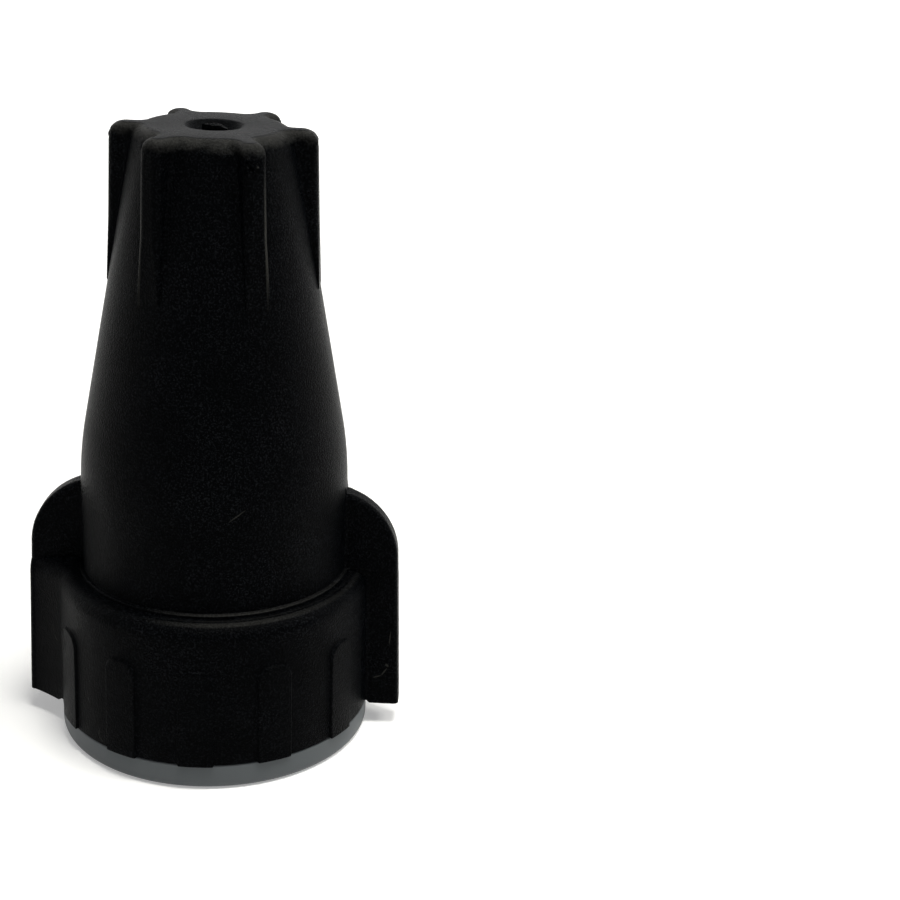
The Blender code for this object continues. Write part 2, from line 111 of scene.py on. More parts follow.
# Wear and painted rim highlight of the nose, noises as pairs of a frequency per metre and a weight
RIM_SCUFF = 0.06 * MM
RIM_NOISE = ((2600.0, 1.0), (5600.0, 0.6))
RIM_SCUFF_START = 41.9 * MM
RIM_SCUFF_FULL = 42.7 * MM
NICK_PLACE = (3.1 * MM, -6.05 * MM, 42.05 * MM)
NICK_SIZE = 0.62 * MM
NICK_DEPTH = 0.26 * MM
NICK_LEVEL = 0.55
NICK_NOISE = ((3400.0, 1.4), (7800.0, 0.7))
# The rim's pale band below: partly real scuffing, partly a painted highlight on the rounded top
# edge
RIM_RAGGED = 1.1 * MM
RIM_RAGGED_NOISE = (1200.0, 5.0)
RIM_WEAR_AND_HIGHLIGHT_LOW = 42.62 * MM
RIM_WEAR_AND_HIGHLIGHT_SPAN = 0.8 * MM
RIM_WEAR_AND_HIGHLIGHT_TOP = (TOTAL_HEIGHT - 0.06 * MM, TOTAL_HEIGHT - 0.01 * MM)
RIM_WEAR_AND_HIGHLIGHT_RADII = (3.2 * MM, 4.2 * MM)

# Painted highlight on the ledge and its step: heights, and the ranges in which it comes and goes
LEDGE_HIGHLIGHT = (11.93 * MM, 12.13 * MM, 12.23 * MM)
LEDGE_HIGHLIGHT_SHARE = 0.56
STEP_HIGHLIGHT = (12.36 * MM, 12.41 * MM, 12.5 * MM)
# Where the ledge's painted highlight lies: on the front and the right, where the light falls
HIGHLIGHT_RIGHT_SHARE = 0.95
HIGHLIGHT_RIGHT = (-3.6 * MM, 1.0 * MM)
HIGHLIGHT_FRONT = (-3.0 * MM, 1.0 * MM)
HIGHLIGHT_RADII = (11.0 * MM, 11.2 * MM)
HIGHLIGHT_FAR_SHARE = 0.3
HIGHLIGHT_FADING = (3.5 * MM, 9.5 * MM)

# Scratches, specks, lint and painted highlights down the two front fins' outer edges, each from
# one place to another in millimetres, with a half width
MARKS_AND_EDGE_HIGHLIGHTS = (
    ((2.14, -8.97, 19.07), (3.27, -8.59, 19.9), 0.06),
    ((-1.02, -10.88, 6.86), (-1.02, -10.88, 6.76), 0.08),
    ((11.5, -0.8, 3.75), (12.1, -0.8, 3.95), 0.07),
    ((12.1, -0.8, 3.95), (12.5, -0.8, 4.55), 0.07),
    ((12.45, -0.8, 4.75), (12.55, -0.8, 4.85), 0.12),
    ((12.6, -0.8, 6.4), (12.7, -0.8, 7.6), 0.05),
    ((-11.35, -2.26, 7.7), (-11.25, -2.34, 6.9), 0.06),
    ((-11.25, -2.34, 6.9), (-10.9, -2.6, 6.4), 0.06),
    ((3.02, -6.13, 42.18), (3.1, -6.1, 42.1), 0.13),
    ((2.78, -6.21, 42.6), (2.82, -6.2, 42.5), 0.11),
    ((3.6, -5.8, 42.05), (3.55, -5.83, 42.0), 0.09),
    # These two are painted highlights down the front fins' outer edges
    ((-3.75, -5.62, 42.3), (-4.02, -5.84, 31.8), 0.2),
    ((3.99, -5.47, 42.0), (4.26, -5.66, 32.3), 0.165),
    ((-6.75, -8.67, 3.1), (-6.85, -8.6, 2.4), 0.05),
    ((-6.85, -8.6, 2.4), (-6.4, -8.93, 2.1), 0.05),
    ((-7.9, -7.65, 5.1), (-7.4, -8.15, 4.5), 0.06),
)

# Wings
WING_REACH = 13.4 * MM
WING_SLOPE = math.tan(math.radians(2.0))
WING_THICKNESS = 1.6 * MM
WING_EDGE = 0.35 * MM
WING_TOP = 18.34 * MM
WING_CORNER = 5.2 * MM
WING_FILLET = 0.3 * MM
WING_END_STAND = 0.04 * MM
WING_FOOT_DROP = 0.27 * MM
WING_FOOT_START = 11.04 * MM
WING_FOOT_BLEND = 0.3 * MM
# Rings of the open end: share of the outline, and of the blend up to which a wing's foot reaches
FOOT_RINGS = (
    (0.97, 0.0), (0.976, 0.25), (0.982, 0.5), (0.988, 0.75), (0.994, 1.0), (1.0, math.inf),
)
FLARE_RADIUS = 14.0 * MM
FLARE_CENTRE = (20.15 * MM, 13.11 * MM)

# Dish and torn gate
DISH_RADIUS = 2.05 * MM
DISH_FLOOR_RADIUS = 1.15 * MM
DISH_DEPTH = 0.55 * MM
GATE_RADIUS = 0.9 * MM
GATE_TEAR = 0.25 * MM
GATE_LEAN = 0.3 * MM
GATE_HEIGHT = 0.5 * MM
GATE_LEVEL = 0.86
GATE_SLANT = 0.12
GATE_COARSE = (1900.0, 0.2)
GATE_FINE = (5200.0, 0.12)
TEAR_FREQUENCY = 2600.0
TEAR_DEPTH = 0.05 * MM
# Sections of the gate's stub: share of its outline, and share of its height
GATE_STEPS = (
    (1.0, 0.0), (0.99, 0.35), (0.98, 0.7), (0.95, 0.95),
    (0.86, 1.0), (0.7, 1.0), (0.5, 1.0), (0.25, 1.0),
)

# Inside
BORE_MOUTH_RADIUS = 6.45 * MM
BORE_END_RADIUS = 3.6 * MM
BORE_MOUTH_HEIGHT = 15.6 * MM
BORE_END = 38.85 * MM
CAVITY_RADIUS = 8.09 * MM
FUNNEL_HEIGHT = 2.0 * MM
COLLAR_STOP = 7.22 * MM

# Camera, from the photograph's perspective
CAMERA_AZIMUTH = math.radians(-1.076)
CAMERA_ELEVATION = math.radians(21.031)
CAMERA_ROLL = math.radians(3.242)
CAMERA_DISTANCE = 125.06 * MM
CAMERA_AIM = 21.4 * MM
CAMERA_ASIDE = 19.835 * MM
CAMERA_DROP = 0.713 * MM
CAMERA_LENS = 71.74
CAMERA_SHIFT = -0.0556
CAMERA_SENSOR = 36.0
CAMERA_CLIP = (0.005, 20.0)

# Surfaces: grains as a noise's scale and detail, tones as positions on a ramp with their colours
BLACK_GLOSS = 0.012
BLACK_GRAIN = (8400.0, 3.0)
BLACK_CLOUDS = (240.0, 3.0)
BLACK_TONES = (
    (0.36, (0.00005, 0.0001, 0.0002, 1.0)),
    (0.5, (0.0002, 0.0004, 0.0008, 1.0)),
    (0.72, (0.0100, 0.0110, 0.0128, 1.0)),
)
FLOW_SHARE = 0.6
FLOW_COLOUR = (0.0001, 0.0002, 0.0003, 1.0)
WORN_AND_HIGHLIGHT_LEAST = 0.4
# Colour of the worn rim and of the painted highlights on the rim and the ledge
WORN_AND_HIGHLIGHT_COLOUR = (0.035, 0.0348, 0.033, 1.0)
# Colour of scratches and of the painted highlights down the front fins' edges
MARK_AND_EDGE_HIGHLIGHT_COLOUR = (0.024, 0.024, 0.022, 1.0)
BLACK_ROUGHNESS = (0.26, 0.32)
BLACK_RELIEF = (0.8, 0.1 * MM)
GREY_GLOSS = 0.3
GREY_GRAIN = (5000.0, 3.0)
GREY_CLOUDS = (300.0, 2.0)
GREY_TONES = ((0.0, (0.071, 0.0795, 0.0855, 1.0)), (1.0, (0.081, 0.0905, 0.0975, 1.0)))
GREY_ROUGHNESS = (0.48, 0.58)
GREY_RELIEF = (0.15, 0.02 * MM)
STEEL_LINES = (3000.0, 2.0)
STEEL_TONES = ((0.0, (0.50, 0.49, 0.47, 1.0)), (1.0, (0.60, 0.59, 0.57, 1.0)))
STEEL_ROUGHNESS = (0.22, 0.36)
STEEL_RELIEF = (0.1, 0.01 * MM)

# Surroundings, in metres: the floor's glow and the range of distance over which it rises
FLOOR_HALF_WIDTH = 2.5
FLOOR_DROP = 0.02 * MM
FLOOR_COLOUR = (0.82, 0.82, 0.82, 1.0)
FLOOR_GLOW = (0.32, 0.98)
FLOOR_GLOW_RANGE = (0.06, 0.4)
SURROUND_COLOUR = (1.0, 1.0, 1.0, 1.0)
SURROUND_STRENGTH = (0.15, 1.0)
LAMP_COLOUR = (1.0, 0.99, 0.94)
LAMP_AIM = (0.0, 0.0, 0.022)
# Lamps: name, place, width and height, power
LAMPS = (
    ("overhead", (0.1, -0.09, 0.58), (0.2, 0.16), 3.0),
    ("right_high", (0.36, 0.02, 0.46), (0.2, 0.2), 1.2),
    ("right_back", (0.43, 0.34, 0.1), (0.16, 0.12), 0.2),
    ("left", (-0.44, 0.27, 0.1), (0.2, 0.25), 0.15),
)


def circle(radius, steps):
    """Points of a full circle, from the +X side round."""
    turns = [2 * math.pi * i / steps for i in range(steps)]
    return [(radius * math.cos(t), radius * math.sin(t)) for t in turns]


def arc(centre, radius, start, stop, steps):
    """Points of an arc, both ends included."""
    turns = [start + (stop - start) * i / steps for i in range(steps + 1)]
    return [(centre[0] + radius * math.cos(t), centre[1] + radius * math.sin(t)) for t in turns]


def hollow(centre, radius, start, stop, count):
    """Points of a hollow rounding that starts below its centre."""
    return [(centre[0] - radius * math.sin(t), centre[1] - radius * math.cos(t))
            for t in spread(start, stop, count)]


def on_circle(radius, angle):
    """A plan point at an angle in degrees."""
    turn = math.radians(angle)
    return (radius * math.cos(turn), radius * math.sin(turn))


def rotated(points, angle):
    """The same points turned about the axis."""
    c, s = math.cos(angle), math.sin(angle)
    return [(x * c - y * s, x * s + y * c) for x, y in points]


def clamped(value):
    """A value kept between 0 and 1."""
    return min(1.0, max(0.0, value))


def eased(share):
    """A share that starts and ends softly."""
    return share * share * (3.0 - 2.0 * share)


def roughened(place, grains, level=0.0):
    """A level plus the noises at a place, from pairs of a frequency per metre and a weight."""
    return sum((weight * noise.noise(place * frequency) for frequency, weight in grains), level)


def edge_inset(z, top, radius):
    """How far a rounded upper edge has drawn in at height z."""
    rise = max(0.0, z - (top - radius))
    return radius - math.sqrt(max(0.0, radius * radius - rise * rise))


def at_height(points, z):
    """Lift plan points to a height."""
    return [(x, y, z) for x, y in points]


def spread(start, stop, count):
    """Evenly spaced values, both ends included."""
    return [start + (stop - start) * i / (count - 1) for i in range(count)]


def unwrapped(ring):
    """Angles of a ring's points, ending one full turn after the first."""
    first = math.atan2(ring[0].co.y, ring[0].co.x)
    turns = [(math.atan2(v.co.y, v.co.x) - first) % (2 * math.pi) for v in ring]
    return [first + turn for turn in turns] + [first + 2 * math.pi]


def join_rings(bm, first, second):
    """Skin two rings of points that both run round from +X; their counts may differ."""
    count_a, count_b = len(first), len(second)
    if count_a == count_b:
        for i in range(count_a):
            j = (i + 1) % count_a
            bm.faces.new((first[i], first[j], second[j], second[i]))
        return
    turns_a, turns_b = unwrapped(first), unwrapped(second)
    i = j = 0
    while i < count_a or j < count_b:
        if j >= count_b or (i < count_a and turns_a[i + 1] <= turns_b[j + 1]):
            bm.faces.new((first[i % count_a], first[(i + 1) % count_a], second[j % count_b]))
            i += 1
        else:
            bm.faces.new((first[i % count_a], second[(j + 1) % count_b], second[j % count_b]))
            j += 1


def skin(sections, start_point, end_point):
    """Close a solid from a point, through its sections, to another point."""
    bm = bmesh.new()
    rings = [[bm.verts.new(point) for point in section] for section in sections]
    start = bm.verts.new(start_point)
    end = bm.verts.new(end_point)
    first, last = rings[0], rings[-1]
    for i in range(len(first)):
        bm.faces.new((start, first[(i + 1) % len(first)], first[i]))
    for below, above in zip(rings, rings[1:]):
        join_rings(bm, below, above)
    for i in range(len(last)):
        bm.faces.new((last[i], last[(i + 1) % len(last)], end))
    return bm


def finish_piece(bm, name):
    """Turn a bmesh into a named object, shaded smooth with its real edges kept."""
    bmesh.ops.remove_doubles(bm, verts=bm.verts, dist=0.0005 * MM)
    bmesh.ops.dissolve_degenerate(bm, edges=bm.edges, dist=0.0005 * MM)
    bm.normal_update()
    mesh = bpy.data.meshes.new(name)
    bm.to_mesh(mesh)
    bm.free()
    mesh.shade_smooth()
    mesh.set_sharp_from_angle(angle=math.radians(SHARP_ANGLE))
    piece = bpy.data.objects.new(name, mesh)
    bpy.context.scene.collection.objects.link(piece)
    return piece


def turned(profile, steps):
    """Sections of a turned form from its (radius, height) points."""
    return [at_height(circle(radius, steps), z) for radius, z in profile]


def waist_bounds():
    """Heights between which the straight waist leans into the cone."""
    corner = TOTAL_HEIGHT - (BODY_RADIUS - TOP_RADIUS) / CONE_SLOPE
    lean = math.atan(CONE_SLOPE)
    tangent = WAIST_BLEND * math.tan(lean / 2)
    return corner - tangent, corner + tangent * math.cos(lean)


def body_radius(z):
    """Outer radius of the waist and cone: straight, then an arc, then the cone."""
    low, high = waist_bounds()
    if z <= low:
        return BODY_RADIUS
    if z >= high:
        return TOP_RADIUS + (TOTAL_HEIGHT - z) * CONE_SLOPE
    return BODY_RADIUS - (WAIST_BLEND - math.sqrt(WAIST_BLEND ** 2 - (z - low) ** 2))


def fin_root_height():
    """Height at which the cone has grown as wide as the fins."""
    return TOTAL_HEIGHT - (FIN_REACH - TOP_RADIUS) / (CONE_SLOPE - FIN_SLOPE)


def star_outline(z):
    """Section through the nose: the round body with six filleted fins."""
    inset = edge_inset(z, TOTAL_HEIGHT, TOP_EDGE)
    below = TOTAL_HEIGHT - z
    body = body_radius(z) - inset
    reach = FIN_REACH + below * FIN_SLOPE - edge_inset(z, TOTAL_HEIGHT, FIN_END_EDGE)
    half = FIN_THICKNESS / 2 + below * FIN_DRAFT - edge_inset(z, TOTAL_HEIGHT, FIN_SIDE_EDGE)
    stand = reach - body
    # At the fins' roots and ends there is no room for the full roundings
    edge = min(FIN_EDGE, half * 0.9, stand * 0.75)
    fillet = min(FIN_FILLET, stand * 0.25) + inset
    face = [(reach, y) for y in spread(0.0, half - edge, 8)[:-1]]
    corner = arc((reach - edge, half - edge), edge, 0.0, math.pi / 2, 8)
    height = half + fillet
    away = math.sqrt((body + fillet) ** 2 - height ** 2)
    foot = math.atan2(height, away)
    root = arc((away, height), fillet, -math.pi / 2, -math.pi + foot, 12)
    middle = math.pi / FIN_COUNT
    turns = spread(foot, middle, 18)[1:]
    valley = [(body * math.cos(t), body * math.sin(t)) for t in turns]
    side = face + corner + root + valley
    other = [(x, -y) for x, y in reversed(side[1:-1])]
    sector = side + rotated(other, 2 * middle)
    turns = [2 * middle * i + FIN_TURN for i in range(FIN_COUNT)]
    return [point for turn in turns for point in rotated(sector, turn)]


def wing_reach(z, depth=0.0):
    """How far a wing stands out at a depth inside its outline; its corner is a quarter round."""
    corner_height = WING_TOP - WING_CORNER
    if z <= corner_height:
        return WING_REACH - (z - SHELL_BOTTOM) * WING_SLOPE - depth
    centre = WING_REACH - (corner_height - SHELL_BOTTOM) * WING_SLOPE - WING_CORNER
    run = (WING_CORNER - depth) ** 2 - (z - corner_height) ** 2
    return centre + math.sqrt(max(0.0, run))


def wing_tip(z, half, edge, limit):
    """Outline of a wing's end from its middle, rounded at the same rate all along its rim."""
    points = [(wing_reach(z), y) for y in spread(0.0, half - edge, 4)[:-1]]
    for turn in spread(0.0, math.pi / 2, 8):
        depth = edge * (1.0 - math.cos(turn))
        x = wing_reach(z, depth)
        y = half - edge + edge * math.sin(turn)
        if x < limit:
            past_x, past_y = points[-1]
            share = (past_x - limit) / max(1e-9, past_x - x)
            points.append((limit, past_y + (y - past_y) * clamped(share)))
            break
        points.append((x, y))
    return points


def flared_side(z, radius, inset):
    """The flared side of a wing: one long shallow bow from its tip to a crease at the skirt."""
    face = WING_THICKNESS / 2
    centre_x, centre_y = FLARE_CENTRE
    swept = FLARE_RADIUS + inset
    first = math.asin((centre_x - wing_reach(z) + WING_EDGE) / swept)
    brow = centre_y - swept * math.cos(first)
    if brow < face:
        first = math.acos((centre_y - face) / swept)
        brow = face
    away = math.hypot(centre_x, centre_y)
    between = math.acos((away ** 2 + radius ** 2 - swept ** 2) / (2 * away * radius))
    crease = math.atan2(centre_y, centre_x) - between
    last = math.atan2(centre_x - radius * math.cos(crease), centre_y - radius * math.sin(crease))
    return wing_tip(z, brow, WING_EDGE, 0.0) + hollow(FLARE_CENTRE, swept, first, last, 17)


def plain_side(z, radius, inset):
    """The plain side of a wing, with a small fillet at the skirt."""
    face = WING_THICKNESS / 2
    height = face + WING_FILLET
    away = math.sqrt((radius + inset + WING_FILLET) ** 2 - height ** 2)
    swept = WING_FILLET + inset
    first = math.acos(min(1.0, (height - face) / swept))
    root = hollow((away, height), swept, first, math.atan2(away, height), 9)
    return wing_tip(z, face, WING_EDGE, 0.0) + root


def waist_side(z, radius):
    """One side of a wing on the waist: rim rounded by depth, small fillet at the body."""
    stand = wing_reach(z) - radius
    # Near the wing's upper end there is no room for the full roundings
    fillet = min(WING_FILLET, stand * 0.6)
    edge = min(WING_EDGE, stand * 0.9)
    half = WING_THICKNESS / 2
    limit = math.sqrt((radius + fillet) ** 2 - (half + fillet) ** 2)
    tip = wing_tip(z, half, edge, limit)
    brow = tip[-1][1]
    height = brow + fillet
    away = math.sqrt((radius + fillet) ** 2 - height ** 2)
    root = hollow((away, height), fillet, 0.0, math.atan2(away, height), 7)
    if root[0][0] > tip[-1][0]:
        root = [(min(x, tip[-1][0]), y) for x, y in root]
    return tip + root


def bent(side, radius, bends, turn):
    """A side of a wing and the quarter after it, its pads turned but not the wing's foot."""
    start = bends[0][0]
    foot = math.degrees(math.atan2(side[-1][1], side[-1][0]))
    places = [(angle, 0.0) for angle in spread(foot, start, 5)[1:-1]]
    places += [(a + turn * min(1.0, (a - start) / PAD_TURN_FADE), lift) for a, lift in bends]
    return side + [on_circle(radius + lift, angle) for angle, lift in places]


def whole_section(near, far, radius, bends):
    """A closed section from its two kinds of wing side and the bends round a quarter."""
    first = bent(near, radius, bends, PAD_TURN)
    second = [(-x, y) for x, y in reversed(bent(far, radius, bends, -PAD_TURN)[1:-1])]
    half = first + second
    return half + rotated(half, math.pi)


def waist_outline(z, radius):
    """Section through the body where the wings stand on it."""
    side = waist_side(z, radius)
    foot = math.degrees(math.atan2(side[-1][1], side[-1][0]))
    bends = [(angle, 0.0) for angle in spread(foot, 90.0, 36)[1:]]
    return whole_section(side, side, radius, bends)


def pad_lift(aside, z):
    """How far a grip pad stands up at a place beside its middle line."""
    corner = PAD_CORNER
    dx = abs(aside) - (PAD_WIDTH / 2 - corner)
    dz = z - (PAD_TOP - corner)
    outside = math.hypot(max(dx, 0.0), max(dz, 0.0)) + min(max(dx, dz), 0.0) - corner
    return PAD_HEIGHT * eased(clamped(1.0 - outside / PAD_EDGE))


def pad_bends(z):
    """Angles and lifts round a quarter of the skirt, with its grip pads."""
    edge = PAD_WIDTH / 2
    fine = [edge - PAD_CORNER * share for share in (1.0, *CORNER_SHARES)]
    fine += [edge + PAD_EDGE * share for share in EDGE_SHARES]
    bends = []
    for centre in PAD_CENTRES:
        places = [-s for s in reversed(fine)] + [0.0] + fine
        if centre == PAD_CENTRES[-1]:
            places = places[:len(fine) + 1]
        bends += [(centre + math.degrees(s / SKIRT_RADIUS), pad_lift(s, z)) for s in places]
    filled = [bends[0]]
    for (a, _), (b, lift_b) in zip(bends, bends[1:]):
        if b - a > PAD_GAP:
            filled += [(angle, 0.0) for angle in spread(a, b, 8)[1:-1]]
        filled.append((b, lift_b))
    return filled


def foot_marks():
    """Places along a wing's plain face where its foot leaves the skirt's edge."""
    return [WING_FOOT_START + WING_FOOT_BLEND * share for share in (1.0, 0.75, 0.5, 0.25)]


def skirt_outline(z):
    """Section through the skirt: wings flared on one side, pads, and a rounded upper edge."""
    inset = edge_inset(z, SKIRT_TOP, SKIRT_EDGE)
    narrowing = SKIRT_NARROWING * (z - SHELL_BOTTOM) / (SKIRT_TOP - SHELL_BOTTOM)
    radius = SKIRT_RADIUS - narrowing - inset
    flared = flared_side(z, radius, inset)
    plain = plain_side(z, radius, inset)
    foot_end = WING_FOOT_START + WING_FOOT_BLEND
    spot = next(i for i, point in enumerate(plain) if point[0] < foot_end)
    plain[spot:spot] = [(x, WING_THICKNESS / 2) for x in foot_marks()]
    return whole_section(flared, plain, radius, pad_bends(z))


def foot_sections():
    """Open end of the shell: flat under the skirt, with the wings' feet lower, clear of the cap."""
    sections = []
    for share, reach in FOOT_RINGS:
        section = []
        for x, y in skirt_outline(SHELL_BOTTOM):
            whole = math.hypot(x, y)
            radius = min(whole * share, WING_FOOT_START + WING_FOOT_BLEND * reach)
            drop = WING_FOOT_DROP * eased(clamped((radius - WING_FOOT_START) / WING_FOOT_BLEND))
            section.append((x * radius / whole, y * radius / whole, SHELL_BOTTOM - drop))
        sections.append(section)
    return sections


def cavity_profile():
    """Inside of the shell from the end of the bore down to the open end."""
    bore = SKIRT_RADIUS - SKIRT_WALL
    groove = bore + BEAD_HEIGHT
    half = BEAD_SPAN / 2 + COLLAR_GAP
    middle = FLANGE_HEIGHT + BEAD_RISE
    return [
        (BORE_END_RADIUS, BORE_END),
        (BORE_MOUTH_RADIUS, BORE_MOUTH_HEIGHT),
        (CAVITY_RADIUS, BORE_MOUTH_HEIGHT - FUNNEL_HEIGHT),
        (CAVITY_RADIUS, COLLAR_STOP),
        (bore, COLLAR_STOP),
        (bore, middle + half),
        (groove, middle),
        (bore, middle - half),
        (bore, SHELL_BOTTOM),
    ]


def skirt_sections():
    """Skirt from its bottom edge up to the ledge, pads and flares included."""
    edge_start = SKIRT_TOP - SKIRT_EDGE
    heights = spread(SHELL_BOTTOM, PAD_TOP - PAD_CORNER, 6)[1:]
    heights += [PAD_TOP - PAD_CORNER * share for share in CORNER_SHARES]
    heights += [PAD_TOP + PAD_EDGE * share for share in EDGE_SHARES]
    heights += spread(PAD_TOP + 2.2 * PAD_EDGE, edge_start, 5)
    turns = spread(0.0, math.radians(80.0), 9)[1:]
    heights += [edge_start + SKIRT_EDGE * math.sin(t) for t in turns]
    sections = [at_height(skirt_outline(z), z) for z in heights]
    rim = at_height(skirt_outline(SKIRT_TOP), SKIRT_TOP - LEDGE_FALL)
    return foot_sections() + sections + [rim]


def waist_sections():
    """Body from its foot to where the fins start, with the wings standing on it."""
    places = [(SKIRT_TOP, STEP_RADIUS)]
    for turn in spread(0.0, math.pi / 2, 4):
        z = BODY_FOOT - STEP_EDGE + STEP_EDGE * math.sin(turn)
        places.append((z, STEP_RADIUS - STEP_EDGE + STEP_EDGE * math.cos(turn)))
    places.append((BODY_FOOT, BODY_RADIUS + STEP_CREASE))
    places.append((BODY_FOOT + STEP_CREASE, BODY_RADIUS))
    corner = WING_TOP - WING_CORNER
    centre = wing_reach(corner) - WING_CORNER
    last = math.acos((BODY_RADIUS + WING_END_STAND - centre) / WING_CORNER)
    for turn in spread(0.0, last, 26):
        z = corner + WING_CORNER * math.sin(turn)
        places.append((z, body_radius(z)))
    sections = [at_height(waist_outline(z, radius), z) for z, radius in places]
    cone_start = waist_bounds()[1]
    heights = spread(WING_TOP + 0.3 * MM, cone_start, 14)
    heights += spread(cone_start, fin_root_height(), 8)[1:]
    return sections + [at_height(circle(body_radius(z), FINE_STEPS), z) for z in heights]


def scuffed(point):
    """A point of the nose moved in or out a little where its rim is rough and one fin is nicked."""
    x, y, z = point
    radius = math.hypot(x, y)
    place = Vector(point)
    rise = (z - RIM_SCUFF_START) / (RIM_SCUFF_FULL - RIM_SCUFF_START)
    fall = (TOTAL_HEIGHT - z) / (TOTAL_HEIGHT - RIM_SCUFF_FULL)
    window = clamped(rise) * clamped(fall * 2.0)
    shift = RIM_SCUFF * window * roughened(place, RIM_NOISE)
    near = math.exp(-((place - Vector(NICK_PLACE)).length / NICK_SIZE) ** 2)
    shift -= NICK_DEPTH * near * roughened(place, NICK_NOISE, NICK_LEVEL)
    return (x * (radius + shift) / radius, y * (radius + shift) / radius, z)


def nose_sections():
    """Fins and rounded top, from the fins' roots up."""
    low, high = fin_root_height(), TOTAL_HEIGHT - TOP_EDGE
    heights = [low + (high - low) * share for share in FIN_ROOT_SHARES]
    heights += spread(low + (high - low) * FIN_EVEN_SHARE, high, 36)
    heights += [high + TOP_EDGE * math.sin(turn) for turn in spread(0.0, math.pi / 2, 16)[1:]]
    return [[scuffed(point) for point in at_height(star_outline(z), z)] for z in heights]


def gate_outline(radius):
    """Outline of the gate's stub: round at the back, torn off along the front."""
    points = []
    for x, y in circle(radius, COARSE_STEPS):
        tear = GATE_TEAR - GATE_LEAN * max(0.0, x / radius) ** 2
        if y < tear:
            x *= math.sqrt(radius ** 2 - tear ** 2) / radius
            y = tear + noise.noise(Vector((x * TEAR_FREQUENCY, 0.4, 0.0))) * TEAR_DEPTH
        points.append((x, y))
    return points


def dish_sections():
    """Dish in the nose and the half of the gate's stub that stands in it."""
    floor = TOTAL_HEIGHT - DISH_DEPTH
    sections = []
    for share in spread(0.0, 1.0, 12):
        radius = DISH_RADIUS + (DISH_FLOOR_RADIUS - DISH_RADIUS) * share
        z = TOTAL_HEIGHT - DISH_DEPTH * eased(share)
        sections.append(at_height(circle(radius, COARSE_STEPS), z))
    middle = (GATE_RADIUS + GATE_TEAR) / 2
    for share, rise in GATE_STEPS:
        ring = []
        for x, y in gate_outline(GATE_RADIUS):
            x *= share
            y = middle + (y - middle) * share
            rough = roughened(Vector((x, y, 0.0)), [GATE_COARSE])
            rough += roughened(Vector((x, y, 0.01)), [GATE_FINE])
            level = GATE_LEVEL + rough - GATE_SLANT * x / GATE_RADIUS
            ring.append((x, y, floor + GATE_HEIGHT * rise * level))
        sections.append(ring)
    return sections


def make_shell():
    """One moulding: skirt, wings, body, fins and the cavity inside."""
    sections = turned(cavity_profile(), COARSE_STEPS)
    sections += skirt_sections() + waist_sections() + nose_sections() + dish_sections()
    top = TOTAL_HEIGHT - DISH_DEPTH + GATE_HEIGHT * GATE_LEVEL
    last = (0.0, (GATE_RADIUS + GATE_TEAR) / 2, top)
    bm = skin(sections, (0.0, 0.0, BORE_END), last)
    return finish_piece(bm, "shell_moulding")


def cap_profile():
    """Half section of the cap, from the slit disc's outer face round to its inner face."""
    recess = CAP_RADIUS - RIM_WIDTH - RECESS_SLOPE
    lip = recess + RECESS_SLOPE
    collar = SKIRT_RADIUS - SKIRT_WALL - COLLAR_GAP
    middle = FLANGE_HEIGHT + BEAD_RISE
    top = FLANGE_HEIGHT + FLANGE_RISE
    upper = FLANGE_TOP_EDGE
    high = FLANGE_HEIGHT + COLLAR_HEIGHT
    inner = collar - COLLAR_WALL
    return [
        (recess * 0.5, RECESS_DEPTH),
        (recess - RECESS_CORNER[0], RECESS_DEPTH),
        (recess, RECESS_DEPTH - RECESS_CORNER[1]),
        *arc((lip + RECESS_EDGE, RECESS_EDGE), RECESS_EDGE, math.pi, math.pi * 1.5, 8),
        *arc((CAP_RADIUS - FLANGE_EDGE, FLANGE_EDGE), FLANGE_EDGE, math.pi * 1.5, math.pi * 2, 8),
        *arc((CAP_RADIUS - upper, top - upper), upper, 0.0, math.pi / 2, 4),
        (collar, top),
        (collar, middle - BEAD_SPAN / 2),
        (collar + BEAD_HEIGHT, middle),
        (collar, middle + BEAD_SPAN / 2),
        (collar, high),
        (inner, high),
        (inner, RECESS_DEPTH + DISC_THICKNESS),
    ]


def spider_outline():
    """Outline of the cut in the disc: an eye with a thin slit between each two fingers."""
    half = SLIT_WIDTH / 2
    step = 2 * math.pi / SLIT_COUNT
    reach = CAP_RADIUS - RIM_WIDTH - RECESS_SLOPE - SLIT_MARGIN
    end = arc((reach - half, 0.0), half, -math.pi / 2, math.pi / 2, 6)
    flank = math.sqrt(EYE_RADIUS ** 2 - half ** 2) + FINGER_ROUND
    tip = []
    for share in spread(0.0, 1.0, 7)[1:-1]:
        turn = step * share
        radius = EYE_RADIUS + FINGER_ROUND * abs(2 * share - 1) ** 3
        tip.append((radius * math.cos(turn), radius * math.sin(turn)))
    one = [(flank, -half)] + end + [(flank, half)] + tip
    return [point for i in range(SLIT_COUNT) for point in rotated(one, step * i)]


